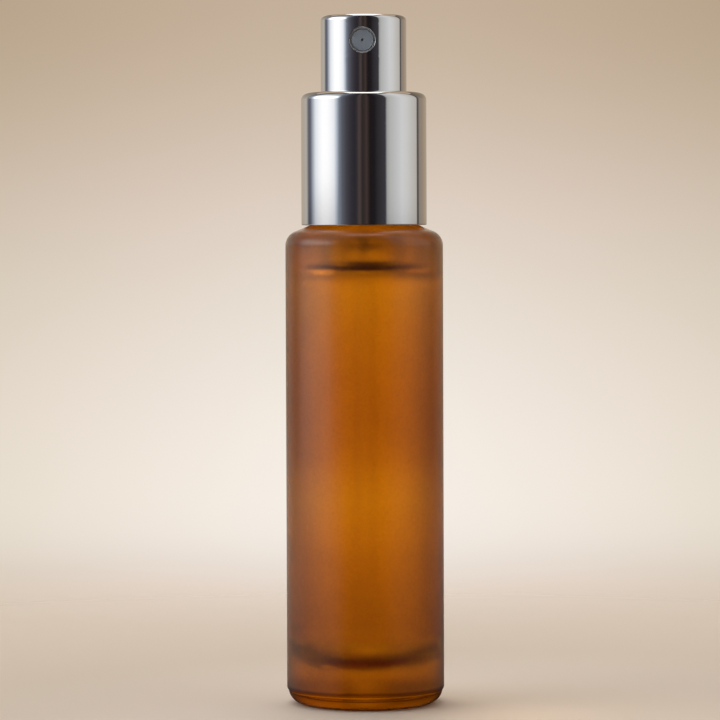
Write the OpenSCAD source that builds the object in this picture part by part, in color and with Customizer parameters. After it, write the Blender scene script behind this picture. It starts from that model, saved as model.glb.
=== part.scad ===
// Slim atomiser: amber glass bottle with a screwed-on, metal-clad fine-mist pump.
// All lengths are millimetres. +Z is up and the bottle stands on z = 0.
// The nozzle points to -Y. Everything is coaxial with the Z axis except the nozzle.

/* [Bottle] */
// Outer diameter of the glass body
body_d = 20; // [19.6:0.1:22]
// Height of the straight outer wall's top edge, where the shoulder starts
wall_top_z = 58.1; // [57.9:0.1:58.2]
// Thickness of the glass in the straight wall
glass_t = 1.7; // [1.4:0.1:1.9]
// Thickness of the heavy glass base
floor_z = 4.6; // [4:0.1:8]
// Depth of the hollow under the base
push_up = 0.7; // [0.3:0.1:1.2]
// Bore of the neck
neck_bore_d = 8.1; // [7.9:0.1:8.6]
// Outside of the neck between its threads
neck_d = 11.3; // [11.2:0.05:11.4]
// Height of the neck's sealing face
neck_top_z = 70.6; // [70.6:0.1:70.8]

/* [Thread] */
// Rise of the screw thread in one turn
pitch = 2.117; // [2.1:0.001:2.15]
// Outside diameter of the thread on the neck
thread_d = 12.8; // [12.6:0.05:12.9]
// Turns of thread on the neck
neck_turns = 1.25; // [1:0.25:1.5]
// Turns of thread inside the closure
closure_turns = 1; // [0.75:0.25:1]

/* [Collar] */
// Outside diameter of the metal collar
collar_d = 15.9; // [15.7:0.1:16.4]
// Height of the collar's lower edge
collar_bottom_z = 60.7; // [60.6:0.05:60.8]
// Height of the collar's flat top
collar_top_z = 77.5; // [77.2:0.1:77.8]
// Radius of the collar's rounded top edge
collar_round = 1; // [0.7:0.1:1.1]
// Thickness of the drawn aluminium in collar and actuator
metal_t = 0.4; // [0.3:0.05:0.45]

/* [Actuator] */
// Outside diameter of the actuator
actuator_d = 10.9; // [10.6:0.1:11]
// Height of the actuator's top when released
actuator_top_z = 87.2; // [86.8:0.1:88]
// Radius of the actuator's rounded top edge
actuator_round = 0.7; // [0.5:0.1:0.9]
// Height of the nozzle's axis
nozzle_z = 83.9; // [83.7:0.1:84.1]
// Diameter of the window for the nozzle in the actuator's shell
window_d = 3.3; // [3.1:0.1:3.5]
// Diameter of the spray orifice
orifice_d = 0.3; // [0.2:0.05:0.4]

/* [Pump] */
// Outside diameter of the pump housing
housing_d = 7.2; // [7:0.1:7.4]
// Bore in which the piston slides
cylinder_d = 5.8; // [5.7:0.05:5.9]
// Outside diameter of the stem
stem_d = 2.5; // [2.4:0.1:2.6]
// Outside diameter of the dip tube
tube_d = 2.4; // [2.2:0.1:2.5]
// Height of the dip tube's lower end above the table
tube_end_z = 6.2; // [5.6:0.1:10]
// Diameter of the inlet ball
ball_d = 1.588; // [1.5:0.002:1.6]

/* [Hidden] */
$fn = 96;

// Radial gap of a sliding fit, of two pieces pushed together for good, and of a metal skin
slide_gap = 0.06;
push_gap = 0.02;
skin_gap = 0.03;
// Free room round the neck's thread, round the actuator in the collar, and in the closure's well
thread_gap = 0.15;
hole_gap = 0.25;
well_gap = 0.55;

body_r = body_d / 2;
neck_r = neck_d / 2;
bore_r = neck_bore_d / 2;
inner_r = body_r - glass_t;
thread_r = thread_d / 2;
collar_r = collar_d / 2;
actuator_r = actuator_d / 2;
housing_r = housing_d / 2;
cylinder_r = cylinder_d / 2;
stem_r = stem_d / 2;
tube_r = tube_d / 2;
ball_r = ball_d / 2;

// Stack on the neck: gasket, pump flange, closure deck
gasket_t = 0.8;
flange_t = 0.8;
deck_t = 0.8;
flange_z = neck_top_z + gasket_t;
deck_z = flange_z + flange_t;
flange_r = 6.2;

// Threads: profile, how deep the ridges' roots are sunk, and where the ridges begin
thread_root_w = 1.2;
thread_crest_w = 0.6;
thread_sink = 0.25;
neck_thread_z = 66.3;
neck_thread_start = 20;
closure_thread_start = 35;

// Closure. The collar hides its lower edge by collar_overhang.
collar_overhang = 0.55;
closure_bore_r = thread_r + thread_gap;
closure_r = collar_r - metal_t - skin_gap;
closure_bottom_z = collar_bottom_z + collar_overhang;
closure_top_z = collar_top_z - metal_t;
well_r = actuator_r + well_gap;
// Radius of the rolled edges of the metal skins
metal_edge_r = 0.12;

// Pump, downwards from the turret
tower_h = 1.4;
turret_plug_h = 0.6;
turret_top_z = deck_z + tower_h;
turret_plug_z = deck_z - turret_plug_h;
snap_z = turret_plug_z + 0.25;
stem_flange_t = 0.55;
stem_flange_r = 2.3;
stem_bottom_z = 66.4;
stem_top_z = 82;
piston_h = 2.2;
poppet_head_t = 0.7;
poppet_head_z = stem_bottom_z - poppet_head_t;
seat_z = 60;
seat_t = 0.6;
lip_z = seat_z - seat_t;
cone_z = 57.9;
tube_top_z = 56.9;
socket_bottom_z = 53.4;

// Points along an arc about (x, y), from angle a0 to a1
function arc(x, y, r, a0, a1, n = 8) = [
    for (i = [0:n]) [x + r * cos(a0 + (a1 - a0) * i / n), y + r * sin(a0 + (a1 - a0) * i / n)]
];

// Ring of revolution between two radii and two heights
module ring(r_in, r_out, z0, z1) {
    translate([0, 0, z0])
        difference() {
            cylinder(r = r_out, h = z1 - z0);
            translate([0, 0, -1])
                cylinder(r = r_in, h = z1 - z0 + 2);
        }
}

// Helical ridge of trapezium section. base_r is the sunk root, tip_r the crest,
// z0 the height of its helix at angle 0, start the angle where it begins.
// The ends taper away.
module ridge(base_r, tip_r, z0, start, turns, root_w, crest_w, n = 24) {
    steps = round(turns * n);
    // Steps over which an end grows, and the share of the height that it starts from
    lead = 4;
    blunt = 0.3;
    points = [
        for (i = [0:steps])
            let (
                turn = start + i * 360 / n,
                z = z0 + pitch * turn / 360,
                grow = min(1, min(i, steps - i) / lead),
                tip = base_r + (tip_r - base_r) * (blunt + (1 - blunt) * grow)
            )
            each [
                [base_r * cos(turn), base_r * sin(turn), z - root_w / 2],
                [tip * cos(turn), tip * sin(turn), z - crest_w / 2],
                [tip * cos(turn), tip * sin(turn), z + crest_w / 2],
                [base_r * cos(turn), base_r * sin(turn), z + root_w / 2]
            ]
    ];
    outward = tip_r > base_r;
    sides = [
        for (i = [0:steps - 1])
            for (k = [0:3])
                let (
                    a = 4 * i + k,
                    b = 4 * i + (k + 1) % 4,
                    quad = [a, a + 4, b + 4, b]
                )
                each [[quad[0], quad[1], quad[2]], [quad[0], quad[2], quad[3]]]
    ];
    ends = [
        [0, 1, 2], [0, 2, 3],
        [4 * steps + 2, 4 * steps + 1, 4 * steps], [4 * steps + 3, 4 * steps + 2, 4 * steps]
    ];
    faces = concat(sides, ends);
    polyhedron(points, outward ? [for (f = faces) [f[2], f[1], f[0]]] : faces);
}

// Compression spring with closed end coils, standing between z0 and z1
module spring(mid_r, wire_r, z0, z1, turns, n = 16, m = 6) {
    steps = round(turns * n);
    span = z1 - z0 - 2 * wire_r;
    // The first and the last turn lie almost flat, as on a ground spring
    closed = 1.1 * wire_r;
    function rise(t) = t < 1
        ? closed * t
        : t > turns - 1
            ? span - closed * (turns - t)
            : closed + (span - 2 * closed) * (t - 1) / (turns - 2);
    points = [
        for (i = [0:steps])
            for (k = [0:m - 1])
                let (
                    turn = i * 360 / n,
                    around = k * 360 / m,
                    r = mid_r + wire_r * cos(around),
                    z = z0 + wire_r + rise(i / n) + wire_r * sin(around)
                )
                [r * cos(turn), r * sin(turn), z]
    ];
    sides = [
        for (i = [0:steps - 1])
            for (k = [0:m - 1])
                let (
                    a = m * i + k,
                    b = m * i + (k + 1) % m
                )
                each [[a, b, b + m], [a, b + m, a + m]]
    ];
    first = [for (k = [1:m - 2]) [0, k + 1, k]];
    last = [for (k = [1:m - 2]) [m * steps, m * steps + k, m * steps + k + 1]];
    polyhedron(points, concat(sides, first, last));
}

// Outer outline of the bottle, from the middle of the base up to the neck's top
heel_r = 1.9;
heel_x = body_r - 2.1;
heel_end = -11;
edge_r = 0.6;
edge_z = 2.15;
edge_start = -48;
shoulder_r = 2;
slope = 22;
shoulder_x = body_r - shoulder_r;
slope_x = shoulder_x + shoulder_r * sin(slope);
slope_z = wall_top_z + shoulder_r * cos(slope);
root_r = 1;
root_x = neck_r + root_r;
root_z = slope_z + (slope_x - root_x + root_r * sin(slope)) * tan(slope) + root_r * cos(slope);
foot_inset = 2.6;
foot_r = body_r - foot_inset;
dome_r = (pow(foot_r, 2) + pow(push_up, 2)) / (2 * push_up);
neck_round = 0.3;

function bottle_outside() = concat(
    arc(0, push_up - dome_r, dome_r, 90, 90 - asin(foot_r / dome_r), 6),
    arc(heel_x, heel_r, heel_r, -90, heel_end),
    arc(body_r - edge_r, edge_z, edge_r, edge_start, 0, 4),
    arc(shoulder_x, wall_top_z, shoulder_r, 0, 90 - slope, 10),
    arc(root_x, root_z, root_r, -90 - slope, -180, 6),
    arc(neck_r - neck_round, neck_top_z - neck_round, neck_round, 0, 90, 3)
);

// Inner outline of the bottle, from the neck's top down to the middle of the floor
dome_in_r = 3;
dome_in_z = 52.9;
slope_in = 3;
dome_in_x = inner_r - dome_in_r;
slope_in_x = dome_in_x + dome_in_r * sin(slope_in);
slope_in_z = dome_in_z + dome_in_r * cos(slope_in);
throat_r = 0.4;
throat_x = bore_r + throat_r;
throat_z = slope_in_z + (slope_in_x - throat_x + throat_r * sin(slope_in)) * tan(slope_in)
    + throat_r * cos(slope_in);
bowl_r = 4.6;

function bottle_inside() = concat(
    arc(bore_r + neck_round, neck_top_z - neck_round, neck_round, 90, 180, 3),
    arc(throat_x, throat_z, throat_r, 180, 270 - slope_in, 6),
    arc(dome_in_x, dome_in_z, dome_in_r, 90 - slope_in, 0, 10),
    arc(inner_r - bowl_r, floor_z + bowl_r, bowl_r, 0, -90, 10),
    [[0, floor_z]]
);

// Frosted bottle with a heavy base, a round shoulder and a threaded neck
module glass_bottle() {
    color([0.62, 0.33, 0.05])
        union() {
            rotate_extrude()
                polygon(concat(bottle_outside(), bottle_inside()));
            ridge(neck_r - thread_sink, thread_r, neck_thread_z, neck_thread_start,
                neck_turns, thread_root_w, thread_crest_w);
        }
}

// Drawn aluminium sleeve that dresses the closure and leaves a hole for the actuator
module collar_shell() {
    hole_r = actuator_r + hole_gap;
    inside_r = collar_r - metal_t;
    inside_round = collar_round - metal_t;
    edge = metal_edge_r;
    color([0.82, 0.82, 0.83])
        rotate_extrude()
            polygon(concat(
                arc(collar_r - edge, collar_bottom_z + edge, edge, -90, 0, 3),
                arc(collar_r - collar_round, collar_top_z - collar_round, collar_round, 0, 90, 10),
                arc(hole_r + edge, collar_top_z - edge, edge, 90, 180, 3),
                [[hole_r, closure_top_z]],
                arc(inside_r - inside_round, closure_top_z - inside_round, inside_round, 90, 0, 6),
                [[inside_r, collar_bottom_z]]
            ));
}

// Moulded screw cap inside the collar: thread, deck over the pump flange, actuator well
module screw_closure() {
    corner = 0.75;
    mouth = 0.25;
    deck_hole_r = 4.7;
    ridge_gap = 0.2;
    color([0.9, 0.9, 0.88])
        union() {
            rotate_extrude()
                polygon([
                    [closure_bore_r + mouth, closure_bottom_z],
                    [closure_r, closure_bottom_z],
                    [closure_r, closure_top_z - corner],
                    [closure_r - corner, closure_top_z],
                    [well_r, closure_top_z],
                    [well_r, deck_z + deck_t],
                    [deck_hole_r, deck_z + deck_t],
                    [deck_hole_r, deck_z],
                    [closure_bore_r, deck_z],
                    [closure_bore_r, closure_bottom_z + mouth]
                ]);
            ridge(closure_bore_r + thread_sink, neck_r + ridge_gap, neck_thread_z - pitch / 2,
                closure_thread_start, closure_turns, thread_root_w, thread_crest_w);
        }
}

// Soft ring that seals the pump flange on the neck
module neck_gasket() {
    inner_gap = 0.2;
    outer_inset = 0.1;
    color([0.93, 0.93, 0.92])
        ring(housing_r + inner_gap, flange_r - outer_inset, neck_top_z, flange_z);
}

// Pump body: flange, cylinder, spring seat, ball chamber and dip tube socket
module pump_housing() {
    chamber_r = 1.1;
    lip_r = 0.7;
    inlet_r = 0.45;
    socket_r = tube_r + 0.75;
    socket_chamfer_w = 0.2;
    socket_chamfer_h = 0.3;
    taper_low_z = 57.6;
    taper_high_z = 59.2;
    groove = 0.15;
    vent_z = 69.4;
    vent_r = 0.3;
    color([0.88, 0.89, 0.9])
        difference() {
            rotate_extrude()
                polygon([
                    [socket_r - socket_chamfer_w, socket_bottom_z],
                    [socket_r, socket_bottom_z + socket_chamfer_h],
                    [socket_r, taper_low_z],
                    [housing_r, taper_high_z],
                    [housing_r, flange_z],
                    [flange_r, flange_z],
                    [flange_r, deck_z],
                    [cylinder_r, deck_z],
                    [cylinder_r, snap_z + groove],
                    [cylinder_r + groove, snap_z],
                    [cylinder_r, snap_z - groove],
                    [cylinder_r, seat_z],
                    [lip_r, seat_z],
                    [lip_r, lip_z],
                    [chamber_r, lip_z],
                    [chamber_r, cone_z],
                    [inlet_r, cone_z - (chamber_r - inlet_r)],
                    [inlet_r, tube_top_z],
                    [tube_r, tube_top_z],
                    [tube_r, socket_bottom_z]
                ]);
            // Vent that lets air back into the bottle
            translate([0, 0, vent_z])
                rotate([0, 90, 0])
                    cylinder(r = vent_r, h = 2 * housing_r);
        }
}

// Ferrule snapped into the housing: guides the stem and stops its upstroke
module turret() {
    tower_r = 2.6;
    disc_r = 4.4;
    disc_t = 0.8;
    chamfer = 0.2;
    plug_r = cylinder_r - push_gap;
    bead = 0.13;
    color([0.95, 0.95, 0.93])
        rotate_extrude()
            polygon([
                [stem_r + slide_gap, turret_plug_z],
                [plug_r, turret_plug_z],
                [plug_r, snap_z - bead],
                [plug_r + bead, snap_z],
                [plug_r, snap_z + bead],
                [plug_r, deck_z],
                [disc_r, deck_z],
                [disc_r, deck_z + disc_t - chamfer],
                [disc_r - chamfer, deck_z + disc_t],
                [tower_r, deck_z + disc_t],
                [tower_r, turret_top_z - chamfer],
                [tower_r - chamfer, turret_top_z],
                [stem_r + slide_gap, turret_top_z]
            ]);
}

// Hollow stem that carries the actuator, with two ports that the piston covers
module stem() {
    passage_r = 0.55;
    port_r = 0.25;
    port_z = 67.9;
    color([0.96, 0.96, 0.94])
        difference() {
            union() {
                translate([0, 0, stem_bottom_z])
                    cylinder(r = stem_r, h = stem_top_z - stem_bottom_z);
                translate([0, 0, turret_plug_z - stem_flange_t])
                    cylinder(r = stem_flange_r, h = stem_flange_t);
            }
            translate([0, 0, stem_bottom_z - 1])
                cylinder(r = passage_r, h = stem_top_z - stem_bottom_z + 2);
            translate([-2 * stem_r, 0, port_z])
                rotate([0, 90, 0])
                    cylinder(r = port_r, h = 4 * stem_r);
        }
}

// Valve head plugged into the stem's lower end: piston seat above, spring spigot below
module poppet() {
    spigot_r = 1;
    spigot_z = poppet_head_z - 0.8;
    head_r = 2.2;
    plug_r = 0.53;
    plug_top_z = stem_bottom_z + 1.1;
    chamfer = 0.2;
    color([0.86, 0.86, 0.84])
        rotate_extrude()
            polygon([
                [0, spigot_z],
                [spigot_r - chamfer, spigot_z],
                [spigot_r, spigot_z + chamfer],
                [spigot_r, poppet_head_z],
                [head_r, poppet_head_z],
                [head_r, stem_bottom_z - chamfer],
                [head_r - chamfer, stem_bottom_z],
                [plug_r, stem_bottom_z],
                [plug_r, plug_top_z - chamfer],
                [plug_r - chamfer / 2, plug_top_z],
                [0, plug_top_z]
            ]);
}

// Piston with an upper and a lower sealing lip, free to slip on the stem
module piston() {
    lip_r = cylinder_r - 0.03;
    lip_chamfer = 0.2;
    lip_edge = 0.1;
    lip_h = 0.3;
    waist_r = 2.35;
    waist_h = 0.8;
    face_r = 2;
    bottom = stem_bottom_z;
    top = bottom + piston_h;
    color([0.97, 0.97, 0.96])
        rotate_extrude()
            polygon([
                [stem_r + slide_gap, bottom],
                [face_r, bottom],
                [lip_r - lip_chamfer, bottom + lip_edge],
                [lip_r, bottom + lip_h],
                [waist_r, bottom + waist_h],
                [waist_r, top - waist_h],
                [lip_r, top - lip_h],
                [lip_r - lip_chamfer, top - lip_edge],
                [face_r, top],
                [stem_r + slide_gap, top]
            ]);
}

// Upper spring: holds the piston on its seat until pressure lifts it
module precompression_spring() {
    color([0.7, 0.7, 0.72])
        spring(mid_r = 1.72, wire_r = 0.13, z0 = stem_bottom_z + piston_h,
            z1 = turret_plug_z - stem_flange_t, turns = 4.5);
}

// Lower spring: pushes stem, piston and actuator back up
module return_spring() {
    color([0.7, 0.7, 0.72])
        spring(mid_r = 1.75, wire_r = 0.18, z0 = seat_z, z1 = poppet_head_z, turns = 5.5);
}

// Inlet valve ball on its cone
module inlet_ball() {
    centre_above_cone = 0.05;
    color([0.75, 0.76, 0.78])
        translate([0, 0, cone_z + centre_above_cone])
            sphere(r = ball_r, $fn = 48);
}

// Straight suction tube with a slanted lower end that can't seal on the floor
module dip_tube() {
    tube_bore_r = 0.7;
    tube_len = tube_top_z - tube_end_z;
    slant = 35;
    cut = 8;
    color([0.93, 0.94, 0.95])
        difference() {
            translate([0, 0, tube_end_z])
                cylinder(r = tube_r - push_gap, h = tube_len);
            translate([0, 0, tube_end_z - 1])
                cylinder(r = tube_bore_r, h = tube_len + 2);
            translate([0, 0, tube_end_z])
                rotate([0, slant, 0])
                    translate([-cut / 2, -cut / 2, -cut / 2])
                        cube([cut, cut, cut / 2]);
        }
}

// Moulded actuator inside its shell: stem socket, flow channel and nozzle pocket
core_r = actuator_r - metal_t - push_gap;
core_top_z = actuator_top_z - metal_t;
actuator_sink = 0.6;
actuator_bottom_z = collar_top_z - actuator_sink;
core_bottom_z = actuator_bottom_z + 0.2;
pocket_y = 2.7;
pocket_r = 1.42;

module actuator_core() {
    boss_r = 2.3;
    skirt_r = 4.2;
    boss_z = turret_top_z + 3.9;
    roof_z = 80.6;
    pocket_h = 4;
    post_r = 0.7;
    post_end_y = 4.35;
    riser_r = 0.5;
    channel_r = 0.3;
    channel_z = nozzle_z + 1.05;
    corner = 0.4;
    color([0.9, 0.9, 0.9])
        difference() {
            rotate_extrude()
                polygon([
                    [0, boss_z],
                    [boss_r, boss_z],
                    [boss_r, roof_z],
                    [skirt_r, roof_z],
                    [skirt_r, core_bottom_z],
                    [core_r, core_bottom_z],
                    [core_r, core_top_z - corner],
                    [core_r - corner, core_top_z],
                    [0, core_top_z]
                ]);
            // Socket on the stem, and the channel from it to the nozzle's back
            translate([0, 0, boss_z - 1])
                cylinder(r = stem_r + push_gap, h = stem_top_z - boss_z + 1);
            cylinder(r = riser_r, h = channel_z);
            translate([0, 0, channel_z])
                rotate([90, 0, 0])
                    cylinder(r = channel_r, h = pocket_y + 0.1);
            // Pocket with the swirl post standing in it
            translate([0, 0, nozzle_z])
                rotate([90, 0, 0])
                    difference() {
                        translate([0, 0, pocket_y])
                            cylinder(r = pocket_r, h = pocket_h);
                        cylinder(r = post_r, h = post_end_y);
                    }
        }
}

// Drawn aluminium cap over the core, with a round window for the nozzle
module actuator_shell() {
    inside_r = actuator_r - metal_t;
    inside_round = actuator_round - metal_t;
    edge = metal_edge_r;
    color([0.82, 0.82, 0.83])
        difference() {
            rotate_extrude()
                polygon(concat(
                    arc(actuator_r - edge, actuator_bottom_z + edge, edge, -90, 0, 3),
                    arc(actuator_r - actuator_round, actuator_top_z - actuator_round,
                        actuator_round, 0, 90, 10),
                    [[0, actuator_top_z], [0, core_top_z]],
                    arc(inside_r - inside_round, core_top_z - inside_round, inside_round, 90, 0, 4),
                    [[inside_r, actuator_bottom_z]]
                ));
            translate([0, 0, nozzle_z])
                rotate([90, 0, 0])
                    cylinder(d = window_d, h = 2 * actuator_r);
        }
}

// Grey nozzle cup with the spray orifice in its front
module nozzle_insert() {
    recess = 0.35;
    front_y = actuator_r - recess;
    back_y = pocket_y + 0.3;
    cup_r = pocket_r - push_gap - 0.03;
    cup_bore_r = 0.92;
    front_t = 0.5;
    front_chamfer = 0.08;
    back_chamfer_w = 0.1;
    back_chamfer_h = 0.2;
    color([0.42, 0.45, 0.48])
        translate([0, 0, nozzle_z])
            rotate([90, 0, 0])
                rotate_extrude()
                    polygon([
                        [orifice_d / 2, front_y],
                        [cup_r - front_chamfer, front_y],
                        [cup_r, front_y - front_chamfer],
                        [cup_r, back_y + back_chamfer_h],
                        [cup_r - back_chamfer_w, back_y],
                        [cup_bore_r, back_y],
                        [cup_bore_r, front_y - front_t],
                        [orifice_d / 2, front_y - front_t]
                    ]);
}

glass_bottle();
collar_shell();
screw_closure();
neck_gasket();
pump_housing();
turret();
stem();
poppet();
piston();
precompression_spring();
return_spring();
inlet_ball();
dip_tube();
actuator_core();
actuator_shell();
nozzle_insert();
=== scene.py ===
"""Looks of the slim amber atomiser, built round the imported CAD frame.

Metres, +Z up, the bottle stands on z = 0 and its nozzle points to -Y, towards the camera.
"""

import math

import bmesh
import bpy
from mathutils import Matrix, Vector


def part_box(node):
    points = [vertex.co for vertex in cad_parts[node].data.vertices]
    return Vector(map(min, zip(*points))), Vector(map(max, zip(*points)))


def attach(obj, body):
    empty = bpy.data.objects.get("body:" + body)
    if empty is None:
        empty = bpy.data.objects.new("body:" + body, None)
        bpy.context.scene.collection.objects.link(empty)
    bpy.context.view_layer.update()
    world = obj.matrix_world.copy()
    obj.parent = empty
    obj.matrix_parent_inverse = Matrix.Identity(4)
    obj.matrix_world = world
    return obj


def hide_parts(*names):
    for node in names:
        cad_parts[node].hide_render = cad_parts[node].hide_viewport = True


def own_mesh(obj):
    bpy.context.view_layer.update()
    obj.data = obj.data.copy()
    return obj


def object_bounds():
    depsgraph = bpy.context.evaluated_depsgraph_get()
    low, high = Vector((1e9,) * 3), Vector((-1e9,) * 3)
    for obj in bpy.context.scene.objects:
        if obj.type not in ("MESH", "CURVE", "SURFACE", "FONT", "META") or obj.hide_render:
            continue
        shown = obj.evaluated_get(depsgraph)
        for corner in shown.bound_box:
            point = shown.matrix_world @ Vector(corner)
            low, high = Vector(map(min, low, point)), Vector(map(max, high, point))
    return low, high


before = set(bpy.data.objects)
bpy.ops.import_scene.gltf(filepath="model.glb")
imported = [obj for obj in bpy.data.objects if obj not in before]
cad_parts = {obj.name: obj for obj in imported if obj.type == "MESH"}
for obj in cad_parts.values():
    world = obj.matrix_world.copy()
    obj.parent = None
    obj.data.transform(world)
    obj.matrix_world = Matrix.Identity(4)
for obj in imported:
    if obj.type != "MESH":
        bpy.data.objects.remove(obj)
CAD_LOW, CAD_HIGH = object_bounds()

MM = 0.001
# How far the camera stands to the right of straight in front, in degrees
VIEW_TURN = 1.5

# ---------------------------------------------------------------- sizes from the frame


def radius_of(node):
    """Smallest half width of a round node, so that a finer copy stays inside its box."""
    low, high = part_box(node)
    return min(-low.x, high.x, -low.y, high.y)


def bottom_of(node):
    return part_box(node)[0].z


def top_of(node):
    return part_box(node)[1].z


BODY_R = radius_of("glass_bottle")
NECK_TOP = top_of("glass_bottle")
COLLAR_R = radius_of("collar_shell")
COLLAR_LOW = bottom_of("collar_shell")
COLLAR_TOP = top_of("collar_shell")
CAP_R = radius_of("actuator_shell")
CAP_LOW = bottom_of("actuator_shell")
CAP_TOP = top_of("actuator_shell")
METAL_T = CAP_TOP - top_of("actuator_core")
INSERT_LOW, INSERT_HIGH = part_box("nozzle_insert")
NOZZLE_Z = (INSERT_LOW.z + INSERT_HIGH.z) / 2
INSERT_R = (INSERT_HIGH.z - INSERT_LOW.z) / 2
WINDOW_R = 1.6 * MM

# ---------------------------------------------------------------- mesh building


def arc(x, y, r, start, end, steps):
    """Points of an arc about (x, y), angles in degrees."""
    angles = [math.radians(start + (end - start) * i / steps) for i in range(steps + 1)]
    return [(x + r * math.cos(a), y + r * math.sin(a)) for a in angles]


def with_support(outline, closed):
    """The outline with a point close to each end of its long stretches, which keeps shading crisp."""
    long = 0.35 * MM
    inset = 0.03 * MM
    points = []
    count = len(outline)
    for i, p in enumerate(outline):
        points.append(p)
        if i == count - 1 and not closed:
            break
        q = outline[(i + 1) % count]
        length = math.dist(p, q)
        if length > long:
            for share in (inset / length, 1 - inset / length):
                points.append((p[0] + (q[0] - p[0]) * share, p[1] + (q[1] - p[1]) * share))
    return points


def new_object(name, data):
    obj = bpy.data.objects.new(name, data)
    bpy.context.scene.collection.objects.link(obj)
    return obj


def finish_mesh(name, bm, sharp=35):
    """Turns a bmesh into a smooth-shaded object with sharp edges where the surface really turns."""
    bmesh.ops.remove_doubles(bm, verts=bm.verts, dist=1e-8)
    bmesh.ops.recalc_face_normals(bm, faces=bm.faces)
    mesh = bpy.data.meshes.new(name)
    bm.to_mesh(mesh)
    bm.free()
    mesh.shade_smooth()
    mesh.set_sharp_from_angle(angle=math.radians(sharp))
    return new_object(name, mesh)


def lathe_rings(bm, outline, columns, bulge):
    """Rings of vertices for a surface of revolution; a point on the axis becomes one vertex."""
    rings = []
    for r, z in outline:
        if r < 1e-7:
            rings.append([bm.verts.new((0, 0, z))])
            continue
        ring = []
        for k in range(columns):
            a = 2 * math.pi * k / columns
            rr = r + (bulge(r, z, a) if bulge else 0)
            ring.append(bm.verts.new((rr * math.cos(a), rr * math.sin(a), z)))
        rings.append(ring)
    return rings


def skin(bm, ring_a, ring_b, skip=()):
    """Faces between two neighbouring rings."""
    count = max(len(ring_a), len(ring_b))
    if count == 1:
        return
    for k in range(count):
        if k in skip:
            continue
        n = (k + 1) % count
        if len(ring_a) == 1:
            bm.faces.new((ring_a[0], ring_b[n], ring_b[k]))
        elif len(ring_b) == 1:
            bm.faces.new((ring_a[k], ring_a[n], ring_b[0]))
        else:
            bm.faces.new((ring_a[k], ring_a[n], ring_b[n], ring_b[k]))


def lathe(name, outline, columns, bulge=None):
    """A closed solid of revolution about Z. The outline runs round the section's edge."""
    on_axis = outline[0][0] < 1e-7 and outline[-1][0] < 1e-7
    points = with_support(outline, not on_axis)
    bm = bmesh.new()
    rings = lathe_rings(bm, points, columns, bulge)
    for a, b in zip(rings, rings[1:]):
        skin(bm, a, b)
    if not on_axis:
        skin(bm, rings[-1], rings[0])
    return finish_mesh(name, bm)


# ---------------------------------------------------------------- node materials

AMBER_THIN = (0.80, 0.27, 0.0012)
AMBER_DEEP = (0.62, 0.198, 0.0008)
# Painted shade: the darkest amber, along the heel and in a line where the wall starts
HEEL_PAINTED_SHADE = (0.20, 0.045, 0.0005)
# Painted light and shade that make the glass lighter or darker with the height: at each height in mm,
# the factor on red and the factor on green and blue
PAINTED_LIGHT_AND_SHADE_BY_HEIGHT = [
    (0, 1.0, 0.94), (4, 1.06, 1.02), (6.8, 1.10, 1.25), (9, 0.60, 0.45), (11.5, 0.77, 0.64),
    (16.5, 0.96, 0.82), (19, 1.03, 0.91), (21.5, 1.24, 1.15), (26.4, 1.40, 1.40), (28.9, 1.28, 1.19),
    (31.4, 1.09, 0.91), (36.4, 1.00, 0.80), (41.3, 1.08, 0.88), (48.8, 1.22, 1.13), (51, 1.28, 1.27),
    (54, 1.40, 1.40), (57.8, 1.40, 1.40), (58.6, 1.03, 0.98), (59.2, 0.44, 0.38), (59.7, 0.60, 0.53),
    (60.3, 1.30, 1.30), (62, 1.10, 1.10),
]
PAINTED_LIGHT_PEAK = max(red for _, red, _ in PAINTED_LIGHT_AND_SHADE_BY_HEIGHT)
FROST_ROUGHNESS = (0.33, 0.38)
POLISH_ROUGHNESS = 0.03
INSIDE_ROUGHNESS = 0.28


def material(name):
    """New material with its node tree and its Principled shader."""
    mat = bpy.data.materials.new(name)
    mat.use_nodes = True
    tree = mat.node_tree
    shader = tree.nodes["Principled BSDF"]
    return mat, tree, shader


def node(tree, kind, **values):
    """New node. Each value goes to the node's property of that name or else to its input."""
    made = tree.nodes.new(kind)
    for key, value in values.items():
        if hasattr(made, key):
            setattr(made, key, value)
        else:
            made.inputs[key.replace("_", " ")].default_value = value
    return made


def object_noise(tree, scale, detail, roughness=0.55, stretch=(1, 1, 1)):
    """Noise in the object's own space, so it stays on the piece. scale is in cells per metre."""
    place = node(tree, "ShaderNodeTexCoord")
    mapping = node(tree, "ShaderNodeMapping")
    mapping.inputs["Scale"].default_value = stretch
    noise = node(tree, "ShaderNodeTexNoise", Scale=scale, Detail=detail, Roughness=roughness)
    tree.links.new(place.outputs["Object"], mapping.inputs["Vector"])
    tree.links.new(mapping.outputs["Vector"], noise.inputs["Vector"])
    return noise.outputs["Fac"]


def feed(tree, value, socket):
    """Gives a socket another node's output, a plain colour or a plain number."""
    if isinstance(value, bpy.types.NodeSocket):
        tree.links.new(value, socket)
    elif isinstance(value, tuple):
        socket.default_value = (*value, 1)
    else:
        socket.default_value = value


def spread(tree, source, low, high, start=0.3, end=0.7):
    """Maps a value's range from start to end onto the range from low to high."""
    mapped = node(tree, "ShaderNodeMapRange")
    feed(tree, source, mapped.inputs["Value"])
    feed(tree, start, mapped.inputs["From Min"])
    feed(tree, end, mapped.inputs["From Max"])
    feed(tree, low, mapped.inputs["To Min"])
    feed(tree, high, mapped.inputs["To Max"])
    return mapped.outputs["Result"]


def mixed(tree, factor, first, second, how="MIX", clamp=False):
    """Mix of two colours, each a plain one or another node's output."""
    made = node(tree, "ShaderNodeMix", data_type="RGBA", blend_type=how, clamp_result=clamp)
    feed(tree, factor, made.inputs[0])
    feed(tree, first, made.inputs[6])
    feed(tree, second, made.inputs[7])
    return made.outputs[2]


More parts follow.
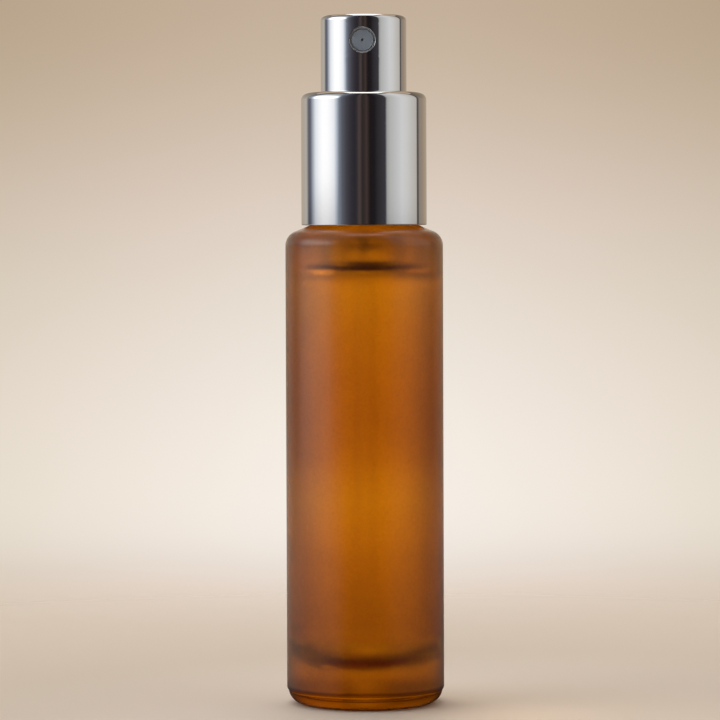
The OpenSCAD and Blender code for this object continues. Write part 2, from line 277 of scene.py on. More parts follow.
def bump(tree, shader, height, distance, strength):
    """Fine relief from a height value; the distance is the relief's depth."""
    made = node(tree, "ShaderNodeBump", Distance=distance, Strength=strength)
    tree.links.new(height, made.inputs["Height"])
    tree.links.new(made.outputs["Normal"], shader.inputs["Normal"])


def tint(tree, shader, factor, color_a, color_b):
    """Base colour between two tones, each a plain one or another node's output."""
    tree.links.new(mixed(tree, factor, color_a, color_b), shader.inputs["Base Color"])


def ramp_node(tree, source, stops):
    """Colour that runs through the stops, each a share and a colour."""
    ramp = node(tree, "ShaderNodeValToRGB")
    elements = ramp.color_ramp.elements
    while len(elements) < len(stops):
        elements.new(0.5)
    for element, (share, color) in zip(elements, stops):
        element.position = share
        element.color = (*color, 1)
    tree.links.new(source, ramp.inputs["Fac"])
    return ramp.outputs["Color"]


def grey(value):
    return (value, value, value)


def attribute(tree, name):
    """One of the values that mark_surface gives the glass."""
    return node(tree, "ShaderNodeAttribute", attribute_name=name).outputs["Fac"]


def mottled_amber(tree, cloud):
    """Amber that clouds between its thin and deep tones."""
    fine = object_noise(tree, 2600, detail=5, roughness=0.7)
    drift = node(tree, "ShaderNodeMix")
    drift.inputs[0].default_value = 0.7
    tree.links.new(cloud, drift.inputs[2])
    tree.links.new(fine, drift.inputs[3])
    mottle = spread(tree, drift.outputs[0], 0.0, 1.0, 0.35, 0.65)
    return mixed(tree, mottle, AMBER_THIN, AMBER_DEEP)


def wall_color(tree, cloud):
    """Amber with painted light and shade: stronger or weaker with height, darkest where depth is high."""
    place = node(tree, "ShaderNodeTexCoord")
    split = node(tree, "ShaderNodeSeparateXYZ")
    tree.links.new(place.outputs["Object"], split.inputs[0])
    top = PAINTED_LIGHT_AND_SHADE_BY_HEIGHT[-1][0]
    share = spread(tree, split.outputs["Z"], 0.0, 1.0, 0.0, top * MM)
    glow = ramp_node(tree, share, [(z / top, (red / PAINTED_LIGHT_PEAK, green / PAINTED_LIGHT_PEAK, green / PAINTED_LIGHT_PEAK))
                                   for z, red, green in PAINTED_LIGHT_AND_SHADE_BY_HEIGHT])
    lifted = node(tree, "ShaderNodeVectorMath", operation="SCALE", Scale=PAINTED_LIGHT_PEAK)
    amber_with_painted_light = mixed(tree, 1.0, glow, mottled_amber(tree, cloud), "MULTIPLY", clamp=True)
    tree.links.new(amber_with_painted_light, lifted.inputs[0])
    return mixed(tree, attribute(tree, "depth"), lifted.outputs[0], HEEL_PAINTED_SHADE)


def amber_glass():
    """Frosted glass with an amber outside. Attribute frost is 1 where the surface is etched, stain is
    1 where it carries the amber, and depth is high where painted shade darkens the amber. All are 0
    inside."""
    mat, tree, shader = material("amber_glass")
    stain = attribute(tree, "stain")
    frost = attribute(tree, "frost")
    cloud = object_noise(tree, 260, detail=4)
    tint(tree, shader, stain, grey(1), wall_color(tree, cloud))

    plain = spread(tree, stain, INSIDE_ROUGHNESS, POLISH_ROUGHNESS, 0.0, 1.0)
    frosted = spread(tree, cloud, *FROST_ROUGHNESS)
    tree.links.new(spread(tree, frost, plain, frosted, 0.0, 1.0), shader.inputs["Roughness"])
    grain = object_noise(tree, 9000, detail=2)
    pitted = node(tree, "ShaderNodeMath", operation="MULTIPLY")
    tree.links.new(grain, pitted.inputs[0])
    tree.links.new(frost, pitted.inputs[1])
    bump(tree, shader, pitted.outputs["Value"], 0.01 * MM, 0.5)

    shader.inputs["Transmission Weight"].default_value = 1.0
    shader.inputs["IOR"].default_value = 1.5
    shader.inputs["Specular Tint"].default_value = (0.0, 0.0, 0.0, 1)
    shader.inputs["Coat Weight"].default_value = 1.0
    shader.inputs["Coat Roughness"].default_value = 0.2
    shader.inputs["Coat IOR"].default_value = 1.55
    volume = node(tree, "ShaderNodeVolumeAbsorption", Density=60.0)
    volume.inputs["Color"].default_value = (0.68, 0.58, 0.05, 1)
    tree.links.new(volume.outputs["Volume"], tree.nodes["Material Output"].inputs["Volume"])
    return mat


def polished_aluminium():
    """Mirror-polished, clear-anodised aluminium with a faint draw waviness and handling haze."""
    mat, tree, shader = material("polished_aluminium")
    shader.inputs["Metallic"].default_value = 1.0
    haze = object_noise(tree, 300, detail=5)
    tint(tree, shader, haze, (0.90, 0.90, 0.91), (0.94, 0.94, 0.945))
    rough = spread(tree, haze, 0.03, 0.06)
    tree.links.new(rough, shader.inputs["Roughness"])
    wave = object_noise(tree, 500, detail=5, roughness=0.6, stretch=(1, 1, 0.35))
    bump(tree, shader, wave, 0.004 * MM, 0.6)
    return mat


def moulded_plastic(name, color_a, color_b, rough_low, rough_high, grain=2500, clear=0.0,
                    ior=1.49):
    """Injection-moulded plastic: fine grain, slight tone drift, optional translucency."""
    mat, tree, shader = material(name)
    cloud = object_noise(tree, 350, detail=4)
    tint(tree, shader, cloud, color_a, color_b)
    rough = spread(tree, cloud, rough_low, rough_high)
    tree.links.new(rough, shader.inputs["Roughness"])
    fine = object_noise(tree, grain, detail=2)
    bump(tree, shader, fine, 0.006 * MM, 0.6)
    shader.inputs["Transmission Weight"].default_value = clear
    shader.inputs["IOR"].default_value = ior
    return mat


def steel(name, rough_low, rough_high, stretch):
    """Stainless steel with fine drawing or lapping marks."""
    mat, tree, shader = material(name)
    shader.inputs["Metallic"].default_value = 1.0
    marks = object_noise(tree, 4000, detail=3, stretch=stretch)
    tint(tree, shader, marks, (0.56, 0.55, 0.54), (0.66, 0.66, 0.66))
    rough = spread(tree, marks, rough_low, rough_high)
    tree.links.new(rough, shader.inputs["Roughness"])
    bump(tree, shader, marks, 0.002 * MM, 0.5)
    return mat


GLASS = amber_glass()
ALUMINIUM = polished_aluminium()
WHITE_PP = moulded_plastic("white_polypropylene", (0.80, 0.80, 0.78), (0.86, 0.86, 0.84), 0.28, 0.40)
NATURAL_PP = moulded_plastic("natural_polypropylene", (0.95, 0.95, 0.95), (0.98, 0.98, 0.97),
                             0.08, 0.14, clear=1.0, ior=1.1)
NATURAL_PE = moulded_plastic("natural_polyethylene", (0.97, 0.97, 0.96), (0.99, 0.99, 0.98),
                             0.06, 0.12, clear=1.0, ior=1.06)
FOAM = moulded_plastic("gasket_foam", (0.80, 0.80, 0.78), (0.88, 0.88, 0.86), 0.7, 0.9, grain=1500)
GREY = moulded_plastic("grey_nozzle_plastic", (0.43, 0.50, 0.58), (0.48, 0.56, 0.65), 0.38, 0.5,
                       grain=5000)
WIRE = steel("spring_steel", 0.18, 0.3, (1, 1, 3))
BALL = steel("ball_steel", 0.06, 0.12, (1, 1, 1))

for name, mat in {
    "screw_closure": WHITE_PP,
    "neck_gasket": FOAM,
    "pump_housing": NATURAL_PP,
    "turret": WHITE_PP,
    "stem": NATURAL_PP,
    "poppet": WHITE_PP,
    "piston": NATURAL_PE,
    "inlet_ball": BALL,
    "dip_tube": NATURAL_PE,
    "actuator_core": WHITE_PP,
}.items():
    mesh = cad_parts[name].data
    mesh.materials.clear()
    mesh.materials.append(mat)

# ---------------------------------------------------------------- the glass bottle


NECK_R = 5.65 * MM
THREAD_LOW = 65.2 * MM
THREAD_HIGH = 70 * MM


def bottle_outside():
    """Outer outline of the glass, from the middle of the base up to the neck's sealing face."""
    foot = BODY_R - 2.6 * MM
    foot_round = 1.5 * MM
    push_up = 0.7 * MM
    reach = (foot ** 2 + push_up ** 2) / (2 * push_up)
    dome = reach - foot_round
    tilt = math.degrees(math.asin(foot / reach))
    heel = 1.9 * MM
    heel_x = BODY_R - 2.1 * MM
    step = 0.6 * MM
    step_z = 2.15 * MM
    wall_low = 2.5 * MM
    shoulder = 2 * MM
    shoulder_x = BODY_R - shoulder
    wall_top = 58.1 * MM
    slope = math.radians(22)
    root = 1 * MM
    root_x = NECK_R + root
    slope_x = shoulder_x + shoulder * math.sin(slope)
    slope_z = wall_top + shoulder * math.cos(slope)
    root_z = slope_z + (slope_x - root_x + root * math.sin(slope)) * math.tan(slope)
    root_z += root * math.cos(slope)
    lip = 0.3 * MM
    return (
        arc(0, push_up - dome, dome, 90, 90 - tilt, 16)
        + arc(foot, foot_round, foot_round, -90 - tilt, -90, 6)
        + arc(heel_x, heel, heel, -90, -11, 20)
        + arc(BODY_R - step, step_z, step, -48, 0, 8)
        + [(BODY_R, wall_low), (BODY_R, wall_low + 0.5 * MM)]
        + arc(shoulder_x, wall_top, shoulder, 0, 68, 20)
        + arc(root_x, root_z, root, -112, -180, 10)
        + thread_rows()
        + arc(NECK_R - lip, NECK_TOP - lip, lip, 0, 90, 5)
    )


def thread_rows():
    """Close rows of points up the neck, for the thread to bulge from."""
    rows = 60
    step = (THREAD_HIGH - THREAD_LOW) / rows
    return [(NECK_R, THREAD_LOW + step * i) for i in range(rows + 1)]


def thread_bulge(r, z, angle):
    """How far the thread stands out of the neck at a height and an angle."""
    if abs(r - NECK_R) > 1e-6 or not THREAD_LOW <= z <= THREAD_HIGH:
        return 0
    pitch = 2.117 * MM
    start = math.radians(20)
    turns = 1.25
    low_at_zero = 66.3 * MM
    height = 0.75 * MM
    half_width = 0.55 * MM
    flank_width = 0.25 * MM
    run_out = 0.12
    tallest = 0
    for lap in range(3):
        along = (angle + lap * 2 * math.pi - start) / (2 * math.pi)
        if not 0 <= along <= turns:
            continue
        centre = low_at_zero + pitch * (angle / (2 * math.pi) + lap)
        flank = min(1, max(0, (half_width - abs(z - centre)) / flank_width))
        lead = min(1, min(along, turns - along) / run_out)
        tallest = max(tallest, height * flank * lead)
    return tallest


def bottle_inside():
    """Inner outline of the glass, from the neck's sealing face down to the middle of the floor."""
    inner = BODY_R - 1.7 * MM
    bore = 4.05 * MM
    lip = 0.3 * MM
    dome = 3.0 * MM
    dome_z = 52.9 * MM
    slope_deg = 3
    slope = math.radians(slope_deg)
    dome_x = inner - dome
    slope_x = dome_x + dome * math.sin(slope)
    slope_z = dome_z + dome * math.cos(slope)
    throat = 0.4 * MM
    throat_x = bore + throat
    throat_z = slope_z + (slope_x - throat_x + throat * math.sin(slope)) * math.tan(slope)
    throat_z += throat * math.cos(slope)
    bowl = 4.6 * MM
    floor = 4.6 * MM
    return (
        arc(bore + lip, NECK_TOP - lip, lip, 90, 180, 5)
        + arc(throat_x, throat_z, throat, 180, 270 - slope_deg, 10)
        + arc(dome_x, dome_z, dome, 90 - slope_deg, 0, 20)
        + arc(inner - bowl, floor + bowl, bowl, 0, -90, 24)
        + [(0, floor)]
    )


def mark_surface(obj):
    """Attributes of the glass: stain (1 on the whole outside), frost (1 on the etched part of it) and
    depth (how much painted shade darkens the amber, along the heel and in a line where the wall starts)."""
    mesh = obj.data
    wall_middle = BODY_R - 1.2 * MM
    base_middle = 1.5 * MM
    shoulder_inside = 58.5 * MM
    neck_inside = 4.85 * MM
    etched_low, etched_high = 1.62 * MM, 61.3 * MM
    # Painted shade: a dark line where the wall starts, and darker amber along the heel
    line_low, line_high = 1.75 * MM, 2.3 * MM
    heel_from = BODY_R - 2.7 * MM
    heel_shade_share = 0.75
    stain, frost, depth = [], [], []
    for v in mesh.vertices:
        r, z = math.hypot(v.co.x, v.co.y), v.co.z
        shoulder = z > shoulder_inside and r > neck_inside
        outside = r > wall_middle or shoulder or z < base_middle
        line = outside and line_low < z < line_high
        heel = r > heel_from and z < etched_low
        stain.append(1.0 if outside else 0.0)
        frost.append(1.0 if outside and etched_low < z < etched_high else 0.0)
        depth.append(1.0 if line else heel_shade_share if heel else 0.0)
    for name, values in (("stain", stain), ("frost", frost), ("depth", depth)):
        mesh.attributes.new(name, "FLOAT", "POINT").data.foreach_set("value", values)


bottle = lathe("bottle_glass", bottle_outside() + bottle_inside(), columns=360, bulge=thread_bulge)
mark_surface(bottle)
bottle.data.materials.append(GLASS)
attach(bottle, "bottle")
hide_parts("glass_bottle")

# ---------------------------------------------------------------- collar and actuator


def collar_outline():
    """Section of the drawn collar: open below, with a hole in its top for the actuator."""
    edge = 0.12 * MM
    round_out = 1 * MM
    round_in = round_out - METAL_T
    hole = CAP_R + 0.25 * MM
    inside = COLLAR_R - METAL_T
    under = COLLAR_TOP - METAL_T
    return (
        arc(COLLAR_R - edge, COLLAR_LOW + edge, edge, -90, 0, 6)
        + arc(COLLAR_R - round_out, COLLAR_TOP - round_out, round_out, 0, 90, 28)
        + arc(hole + edge, COLLAR_TOP - edge, edge, 90, 180, 6)
        + [(hole, under)]
        + arc(inside - round_in, under - round_in, round_in, 90, 0, 10)
        + [(inside, COLLAR_LOW)]
    )


collar = lathe("collar_sleeve", collar_outline(), columns=192)
collar.data.materials.append(ALUMINIUM)
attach(collar, "closure")
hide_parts("collar_shell")

# The window's patch of the cap's wall is a square grid, so that a round hole can be set into it
PATCH_SIDE = 24
PATCH_HALF = 2.3 * MM


def cap_rings(bm, outline):
    """A ring of vertices for each point of an outline. The first columns of all rings cross the patch."""
    half = math.asin(PATCH_HALF / CAP_R)
    rest = 160
    step = (2 * math.pi - 2 * half) / rest
    angles = [-half + 2 * half * i / PATCH_SIDE for i in range(PATCH_SIDE + 1)]
    angles += [half + step * i for i in range(1, rest)]
    return [[bm.verts.new((r * math.sin(a), -r * math.cos(a), z)) for a in angles] for r, z in outline]


def skin_round_patch(bm, rings, first):
    """Faces between the rings, save for the patch, whose lowest ring has the number first."""
    for i, (a, b) in enumerate(zip(rings, rings[1:])):
        inside_patch = first <= i < first + PATCH_SIDE
        skin(bm, a, b, range(PATCH_SIDE) if inside_patch else ())


def patch_edge(rings, first):
    """The square edge of the patch, as a loop of vertices."""
    rows = rings[first:first + PATCH_SIDE + 1]
    side = PATCH_SIDE
    loop = [rows[0][k] for k in range(side)]
    loop += [rows[j][side] for j in range(side)]
    loop += [rows[side][side - k] for k in range(side)]
    loop += [rows[side - j][0] for j in range(side)]
    return loop


def window_loop(bm, square, hole, wall, share=1.0):
    """A loop between the patch's square (share 0) and a round hole (share 1), on a wall's radius."""
    loop = []
    for v in square:
        x, z = v.co.x, v.co.z - NOZZLE_Z
        shrink = 1 + (hole / math.hypot(x, z) - 1) * share
        x, z = x * shrink, z * shrink
        loop.append(bm.verts.new((x, -math.sqrt(max(wall * wall - x * x, 0)), NOZZLE_Z + z)))
    return loop


def cap_mesh():
    """Actuator shell: a drawn cap whose wall has a round window with a rolled edge."""
    bm = bmesh.new()
    edge = 0.12 * MM
    round_out = 0.7 * MM
    crisp = 0.03 * MM
    wall_low = CAP_LOW + edge
    wall_high = CAP_TOP - round_out
    patch_low = NOZZLE_Z - PATCH_HALF
    patch_rows = [patch_low + 2 * PATCH_HALF * i / PATCH_SIDE for i in range(PATCH_SIDE + 1)]
    below_patch = [wall_low + (patch_low - wall_low) * share for share in (0.01, 0.25, 0.5, 0.75)]
    lower_edge = arc(CAP_R - edge, wall_low, edge, -90, 0, 6)
    outline = (
        lower_edge
        + [(CAP_R, z) for z in below_patch + patch_rows + [wall_high - crisp]]
        + arc(CAP_R - round_out, wall_high, round_out, 0, 90, 24)
        + [(CAP_R - round_out - crisp, CAP_TOP)]
    )
    outer = cap_rings(bm, outline)
    outer_first = len(lower_edge) + len(below_patch)
    skin_round_patch(bm, outer, outer_first)
    skin(bm, outer[-1], [bm.verts.new((0, 0, CAP_TOP))])

    # The inside of the cap starts from the lower edge's first ring
    inside = CAP_R - METAL_T
    round_in = round_out - METAL_T
    under = CAP_TOP - METAL_T
    below_patch = [CAP_LOW, wall_low]
    inner = [outer[0]] + cap_rings(bm, (
        [(inside, z) for z in below_patch + patch_rows]
        + arc(inside - round_in, under - round_in, round_in, 0, 90, 8)
    ))
    inner_first = 1 + len(below_patch)
    skin_round_patch(bm, inner, inner_first)
    skin(bm, inner[-1], [bm.verts.new((0, 0, under))])

    # From the outer square to the rolled edge, through the wall and back to the inner square
    roll = 0.1 * MM
    mouth = WINDOW_R + roll
    outer_square = patch_edge(outer, outer_first)
    inner_square = patch_edge(inner, inner_first)
    loops = [outer_square]
    loops += [window_loop(bm, outer_square, mouth, CAP_R, share) for share in (0.25, 0.5, 0.75, 0.93)]
    loops += [window_loop(bm, outer_square, hole, CAP_R - sunk)
              for hole, sunk in arc(mouth, roll, roll, -90, -180, 8)]
    loops += [window_loop(bm, inner_square, WINDOW_R, inside, share) for share in (1.0, 0.7, 0.35)]
    loops.append(inner_square)
    for a, b in zip(loops, loops[1:]):
        skin(bm, a, b)
    return finish_mesh("actuator_cap", bm, 40)


cap = cap_mesh()
cap.data.materials.append(ALUMINIUM)
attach(cap, "actuator")
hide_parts("actuator_shell")


def nozzle_outline():
    """Section of the nozzle cup about its own axis: radius, distance along it from the bottle's axis."""
    front = -INSERT_LOW.y
    back = -INSERT_HIGH.y
    edge = 0.1 * MM
    hole = 0.15 * MM
    dish = 0.02 * MM
    bevel = 0.2 * MM
    cup_bore = 0.92 * MM
    cup_floor = front - 0.5 * MM
    return (
        [(hole, front - dish - edge)]
        + arc(hole + edge, front - dish - edge, edge, 180, 90, 5)
        + [(INSERT_R - edge - 3 * dish, front - dish)]
        + arc(INSERT_R - edge, front - edge, edge, 90, 0, 8)
        + [(INSERT_R, back + bevel), (INSERT_R - bevel / 2, back)]
        + [(cup_bore, back), (cup_bore, cup_floor), (hole, cup_floor)]
    )


nozzle = lathe("nozzle_cup", nozzle_outline(), columns=96)
for v in nozzle.data.vertices:
    v.co = (v.co.x, -v.co.z, NOZZLE_Z + v.co.y)
nozzle.data.flip_normals()
nozzle.data.materials.append(GREY)
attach(nozzle, "actuator")
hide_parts("nozzle_insert")

# ---------------------------------------------------------------- springs


def spring(name, node_name, body, wire, turns):
    """Round-wire compression spring with closed, ground ends, where the CAD spring is."""
    low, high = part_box(node_name)
    middle = high.x - wire
    z0, z1 = low.z + wire, high.z - wire
    steps = int(turns * 40)
    sides = 12
    closed = 2.1 * wire

    def height(t):
        if t < 1:
            return z0 + closed * t
        if t > turns - 1:
            return z1 - closed * (turns - t)
        return z0 + closed + (z1 - z0 - 2 * closed) * (t - 1) / (turns - 2)

    bm = bmesh.new()
    rings = []
    for i in range(steps + 1):
        t = turns * i / steps
        a = 2 * math.pi * t
        section = arc(middle, height(t), wire, 0, 360 * (sides - 1) / sides, sides - 1)
        rings.append([bm.verts.new((r * math.cos(a), r * math.sin(a), z)) for r, z in section])
    for a, b in zip(rings, rings[1:]):
        skin(bm, a, b)
    bm.faces.new(rings[0])
    bm.faces.new(list(reversed(rings[-1])))
    obj = finish_mesh(name, bm, 50)
    obj.data.materials.append(WIRE)
    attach(obj, body)
    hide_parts(node_name)
    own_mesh(obj)


# Each spring's name, the CAD spring it replaces, its body, its wire's radius and its number of turns
spring("return_coil", "return_spring", "pump", 0.18 * MM, 5.5)
spring("precompression_coil", "precompression_spring", "plunger", 0.13 * MM, 4.5)

# ---------------------------------------------------------------- stage, lights and camera


def emission(name, strength=1.0):
    """New glowing material with its node tree and its emission node."""
    mat = bpy.data.materials.new(name)
    mat.use_nodes = True
    tree = mat.node_tree
    tree.nodes.remove(tree.nodes["Principled BSDF"])
    glow = node(tree, "ShaderNodeEmission", Strength=strength)
    tree.links.new(glow.outputs["Emission"], tree.nodes["Material Output"].inputs["Surface"])
    return mat, tree, glow


def direction(azimuth, elevation=0.0):
    """Unit vector from the bottle. Azimuth 0 is towards the camera and 90 to the right."""
    a = math.radians(azimuth + VIEW_TURN)
    e = math.radians(elevation)
    return Vector((math.sin(a) * math.cos(e), -math.cos(a) * math.cos(e), math.sin(e)))


def disc(name, radius, segments, depth):
    """Flat disc round the bottle, a little below its base."""
    bm = bmesh.new()
    bmesh.ops.create_circle(bm, cap_ends=True, segments=segments, radius=radius)
    mesh = bpy.data.meshes.new(name)
    bm.to_mesh(mesh)
    bm.free()
    obj = new_object(name, mesh)
    obj.location.z = -depth
    return obj


def vector_math(tree, operation, source, other=None, output="Value"):
    """Vector operation on a node's output and, where it takes two, a fixed vector."""
    made = node(tree, "ShaderNodeVectorMath", operation=operation)
    tree.links.new(source, made.inputs[0])
    if other is not None:
        made.inputs[1].default_value = other
    return made.outputs[output]


def faded(tree, shown, factor):
    """Sends a shader to the material's surface, fading to clear where the factor is 1."""
    clear = node(tree, "ShaderNodeBsdfTransparent")
    mix = node(tree, "ShaderNodeMixShader")
    tree.links.new(factor, mix.inputs[0])
    tree.links.new(shown, mix.inputs[1])
    tree.links.new(clear.outputs["BSDF"], mix.inputs[2])
    tree.links.new(mix.outputs["Shader"], tree.nodes["Material Output"].inputs["Surface"])


def floor():
    """Pale floor disc that fades into the backdrop, with the warm glow that the glass throws on it."""
    obj = disc("floor", 1.5, 128, 0.03 * MM)
    mat, tree, shader = material("pale_floor")
    shader.inputs["Roughness"].default_value = 0.6
    shader.inputs["Specular IOR Level"].default_value = 0.2
    place = node(tree, "ShaderNodeTexCoord").outputs["Object"]
    from_glow = vector_math(tree, "DISTANCE", place, (0.0175, -0.014, 0))
    warm = ramp_node(tree, from_glow, [(0.002, (1.0, 0.84, 0.68)), (0.016, (0.82, 0.72, 0.61)),
                                       (0.04, (0.745, 0.66, 0.58)), (0.07, (0.69, 0.605, 0.51))])
    tree.links.new(warm, shader.inputs["Base Color"])
    fade = spread(tree, vector_math(tree, "LENGTH", place), 0.0, 1.0, 0.03, 0.20)
    fade.node.interpolation_type = "SMOOTHSTEP"
    faded(tree, shader.outputs["BSDF"], fade)
    obj.data.materials.append(mat)
    obj.visible_glossy = False


def floor_reflection():
    """What mirrors show in place of the floor: dark in front, pale to the sides and behind."""
    obj = disc("floor_reflection", 0.6, 96, 0.5 * MM)
    mat, tree, glow = emission("floor_reflection")
    place = node(tree, "ShaderNodeTexCoord").outputs["Object"]
    unit = vector_math(tree, "NORMALIZE", place, output="Vector")
    length = vector_math(tree, "LENGTH", place)
    pale = {-75: (0.42, 0.43, 0.46), 75: grey(0.14), -150: (0.42, 0.34, 0.28), 150: (0.16, 0.15, 0.15)}
    around = (0, 0, 0)
    for azimuth, shade in pale.items():
        towards = vector_math(tree, "DOT_PRODUCT", unit, direction(azimuth))
        side = ramp_node(tree, towards, [(0.66, grey(0.01)), (0.86, shade)])
        around = mixed(tree, 1.0, around, side, "ADD")
    outward = ramp_node(tree, length, [(0.012, grey(0.03)), (0.035, grey(0.45)), (0.08, grey(0.5)),
                                       (0.25, grey(0.8)), (0.4, grey(1))])
    tree.links.new(mixed(tree, 1.0, around, outward, "MULTIPLY"), glow.inputs["Color"])
    rim = ramp_node(tree, length, [(0.25, grey(0)), (0.58, grey(1))])
    faded(tree, glow.outputs["Emission"], rim)
    obj.data.materials.append(mat)
    obj.visible_camera = False
    obj.visible_diffuse = False
    obj.visible_transmission = False
    obj.visible_shadow = False


def backdrop():
    """World: a warm, pale studio sweep, brightest a little below the horizon and straight behind."""
    world = bpy.data.worlds.new("sweep")
    bpy.context.scene.world = world
    world.use_nodes = True
    tree = world.node_tree
    place = node(tree, "ShaderNodeTexCoord").outputs["Generated"]
    split = node(tree, "ShaderNodeSeparateXYZ")
    tree.links.new(place, split.inputs[0])
    reach = 0.15
    stops = [
        (-0.15, (0.63, 0.52, 0.43)),
        (-0.127, (0.64, 0.53, 0.435)),
        (-0.116, (0.67, 0.565, 0.48)),
        (-0.105, (0.72, 0.62, 0.55)),
        (-0.095, (0.83, 0.75, 0.68)),
        (-0.086, (0.90, 0.835, 0.765)),
        (-0.074, (0.925, 0.86, 0.78)),
        (-0.050, (0.89, 0.81, 0.74)),
        (-0.023, (0.80, 0.73, 0.64)),
        (0.004, (0.73, 0.62, 0.54)),
        (0.031, (0.61, 0.50, 0.39)),
        (0.056, (0.55, 0.43, 0.32)),
        (0.15, (0.50, 0.39, 0.29)),
    ]
    upward = ramp_node(tree, spread(tree, split.outputs["Z"], 0.0, 1.0, -reach, reach),
                       [((z + reach) / (2 * reach), color) for z, color in stops])
    upward.node.color_ramp.interpolation = "B_SPLINE"
    off_centre = node(tree, "ShaderNodeMath", operation="ABSOLUTE")
    tree.links.new(vector_math(tree, "DOT_PRODUCT", place, direction(90)), off_centre.inputs[0])
    sideways = ramp_node(tree, off_centre.outputs[0],
                         [(0.025, grey(1)), (0.055, (0.965, 0.945, 0.93)), (0.098, (0.88, 0.86, 0.81)),
                          (0.2, (0.9, 0.88, 0.84))])
    sweep = mixed(tree, 1.0, upward, sideways, "MULTIPLY")
    tree.links.new(sweep, tree.nodes["Background"].inputs["Color"])


def card(name, azimuths, elevations, distance, across, upward=None, strength=1.0, seen="both"):
    """Glowing card, a patch of a sphere round the bottle, seen in reflections, through glass or both.
    across is a list of (azimuth, radiance colour), upward of (elevation, factor)."""
    bm = bmesh.new()
    uv = bm.loops.layers.uv.new("share")
    columns, rows = 32, 24
    (a0, a1), (e0, e1) = azimuths, elevations
    centre = Vector((0, 0, 0.7 * CAD_HIGH.z))
    grid = []
    for i in range(columns + 1):
        grid.append([])
        for j in range(rows + 1):
            a = a0 + (a1 - a0) * i / columns
            e = e0 + (e1 - e0) * j / rows
            grid[i].append(bm.verts.new(centre + direction(a, e) * distance))
    for i in range(columns):
        for j in range(rows):
            corners = ((i, j), (i + 1, j), (i + 1, j + 1), (i, j + 1))
            face = bm.faces.new([grid[x][y] for x, y in corners])
            for loop, (x, y) in zip(face.loops, corners):
                loop[uv].uv = (x / columns, y / rows)
    mesh = bpy.data.meshes.new(name)
    bm.to_mesh(mesh)
    bm.free()
    obj = new_object(name, mesh)
    mat, tree, glow = emission(name, strength)
    place = node(tree, "ShaderNodeUVMap", uv_map="share")
    split = node(tree, "ShaderNodeSeparateXYZ")
    tree.links.new(place.outputs["UV"], split.inputs[0])
    color = ramp_node(tree, split.outputs["X"], [((a - a0) / (a1 - a0), c) for a, c in across])
    if upward:
        level = ramp_node(tree, split.outputs["Y"], [((e - e0) / (e1 - e0), grey(f)) for e, f in upward])
        color = mixed(tree, 1.0, color, level, "MULTIPLY")
    tree.links.new(color, glow.inputs["Color"])
    mesh.materials.append(mat)
    obj.visible_camera = False
    obj.visible_shadow = False
    obj.visible_glossy = seen != "through"
    obj.visible_transmission = seen != "reflected"


floor()
floor_reflection()
backdrop()
card("back", (168, 192), (-15, 15), 1.0,
     [(168, (0.44, 0.36, 0.28)), (172, (0.55, 0.47, 0.39)), (176, (0.75, 0.67, 0.59)),
      (180, (0.90, 0.82, 0.74)), (184, (0.75, 0.67, 0.59)), (188, (0.56, 0.48, 0.40)),
      (192, (0.45, 0.37, 0.28))])
# The metal mirrors these two sides at its edges, and the glass lets them through at other strengths
BACK_LEFT = [(-168, (1.04, 0.84, 0.64)), (-144, (0.98, 0.87, 0.73)), (-133, (1.04, 0.96, 0.84)),
             (-128, (0.80, 0.74, 0.66)), (-124, (0.34, 0.34, 0.36))]
BACK_RIGHT = [(120, (0.49, 0.42, 0.36)), (125, (0.60, 0.51, 0.42)), (134, (0.69, 0.53, 0.40)),
              (150, (0.84, 0.67, 0.47)), (168, (0.98, 0.80, 0.62))]
# Below the level of the metal the cards are dimmer, so that the frosted glass keeps a dark edge
BEHIND = [(-15, 0.24), (-1, 0.24), (0, 0.45), (4.5, 0.45), (8, 0.42), (18, 0.32), (40, 0.2)]
card("back_left_reflected", (-168, -124), (-15, 40), 1.0, BACK_LEFT, BEHIND, seen="reflected")
card("back_right_reflected", (120, 168), (-15, 40), 1.0, BACK_RIGHT, BEHIND, seen="reflected")
card("back_left_through", (-168, -124), (-15, 40), 1.0, BACK_LEFT,
     [(-15, 0.22), (-1, 0.22), (4, 0.3), (14, 0.6), (40, 0.7)], seen="through")
card("back_right_through", (120, 168), (-15, 40), 1.0, BACK_RIGHT,
     [(-15, 0.24), (-1, 0.26), (1, 0.7), (12, 1.0), (40, 1.0)], seen="through")
card("left_softbox", (-124, -46), (-40, 66), 0.9,
     [(-124, (0.16, 0.16, 0.17)), (-119, (0.10, 0.105, 0.13)), (-114, (0.15, 0.16, 0.2)),
      (-105, (0.50, 0.53, 0.58)), (-100, (0.76, 0.79, 0.83)), (-93, (0.90, 0.92, 0.94)),
      (-85, grey(1.04)), (-80, grey(1.08)), (-70, grey(1.06)), (-63, (0.98, 0.985, 1.0)),
      (-56, (0.84, 0.86, 0.90)), (-51, (0.50, 0.55, 0.62)), (-46, (0.19, 0.215, 0.26))],
     [(-40, 0.2), (-10, 0.3), (-2, 0.38), (-0.3, 0.25), (0.4, 0.34), (0.9, 0.4), (6, 0.42), (13, 0.9),
      (26, 0.9), (38, 0.3), (54, 0.12), (66, 0.1)], 2.5)
card("room", (-46, 40), (-50, 78), 1.0,
     [(-46, (0.19, 0.215, 0.26)), (-40, (0.10, 0.104, 0.128)), (-32, (0.057, 0.054, 0.066)),
      (-24, (0.034, 0.031, 0.038)), (-17, (0.024, 0.021, 0.028)), (-13, (0.034, 0.027, 0.030)),
      (-9, (0.068, 0.051, 0.050)), (-6, (0.060, 0.043, 0.041)), (-3, (0.026, 0.021, 0.021)),
      (1, (0.036, 0.025, 0.023)), (5, (0.052, 0.036, 0.032)), (8, (0.030, 0.021, 0.019)),
      (11, (0.0126, 0.01, 0.011)), (19, (0.0126, 0.01, 0.012)), (25, (0.026, 0.023, 0.027)),
      (40, (0.045, 0.042, 0.048))])
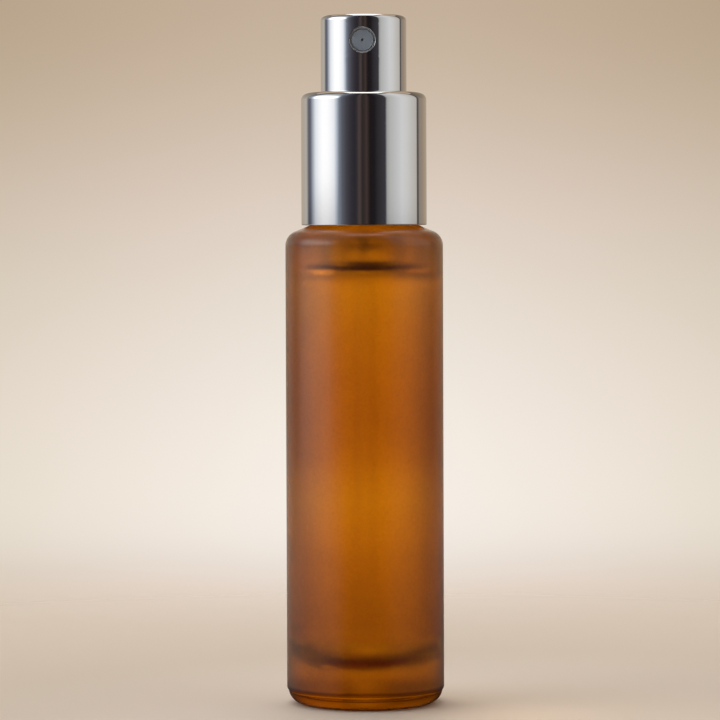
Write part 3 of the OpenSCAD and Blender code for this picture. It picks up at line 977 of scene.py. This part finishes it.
card("right_softbox", (40, 120), (-40, 66), 0.9,
     [(40, (0.075, 0.075, 0.08)), (43, (0.36, 0.36, 0.36)), (48, (0.46, 0.46, 0.44)),
      (60, grey(0.54)), (74, grey(0.64)), (85, (0.62, 0.61, 0.59)), (104, (0.515, 0.49, 0.455)),
      (112, (0.48, 0.445, 0.405)), (115, (0.09, 0.078, 0.073)), (120, (0.09, 0.078, 0.073))],
     [(-40, 0.15), (-1, 0.15), (-0.2, 0.85), (0.4, 1.0), (66, 1.0)])
card("ceiling_left", (-124, -46), (66, 80), 1.0, [(-124, grey(0.10)), (-46, grey(0.10))])
card("ceiling_right", (40, 124), (66, 80), 1.0, [(40, grey(0.10)), (124, grey(0.10))])


def bank(name, place, radiance, width, depth=None):
    """Overhead light facing down, unseen by the camera: a rectangle, or a disc where it has no depth."""
    data = bpy.data.lights.new(name, "AREA")
    data.size = width
    if depth:
        data.shape = "RECTANGLE"
        data.size_y = depth
        area = width * depth
    else:
        data.shape = "DISK"
        area = math.pi * width ** 2 / 4
    data.energy = radiance * math.pi * area
    obj = new_object(name, data)
    obj.location = place
    obj.visible_camera = False
    return obj


# A little behind the bottle: lights the metal's top edges
bank("top_bank", (0, 0.27, 0.80), 1.1, 0.40, 0.70)
# Large and soft: lights the floor, and doesn't mirror in the metal
floor_fill = bank("floor_fill", (-0.55, 0.15, 1.1), 2.3, 1.4)
floor_fill.data.color = (1.0, 0.97, 0.94)
floor_fill.visible_glossy = False


def camera():
    """Long lens at the height of the collar's lower edge, tilted down a little."""
    data = bpy.data.cameras.new("camera")
    data.lens = 182.5
    data.sensor_width = 36
    data.clip_start = 0.01
    data.clip_end = 20
    obj = new_object("camera", data)
    tilt, roll = 2.254, 0.2
    distance = 0.463
    sideways = -0.58 * MM
    eye = direction(0) * distance + direction(90) * sideways
    obj.location = (eye.x, eye.y, CAD_HIGH.z * 0.709)
    turn = Matrix.Rotation(math.radians(VIEW_TURN), 4, "Z")
    pitch = Matrix.Rotation(math.radians(90 - tilt), 4, "X")
    spin = Matrix.Rotation(math.radians(-roll), 4, "Z")
    obj.rotation_euler = (turn @ pitch @ spin).to_euler()
    bpy.context.scene.camera = obj


camera()
bpy.context.scene.view_settings.view_transform = "Standard"
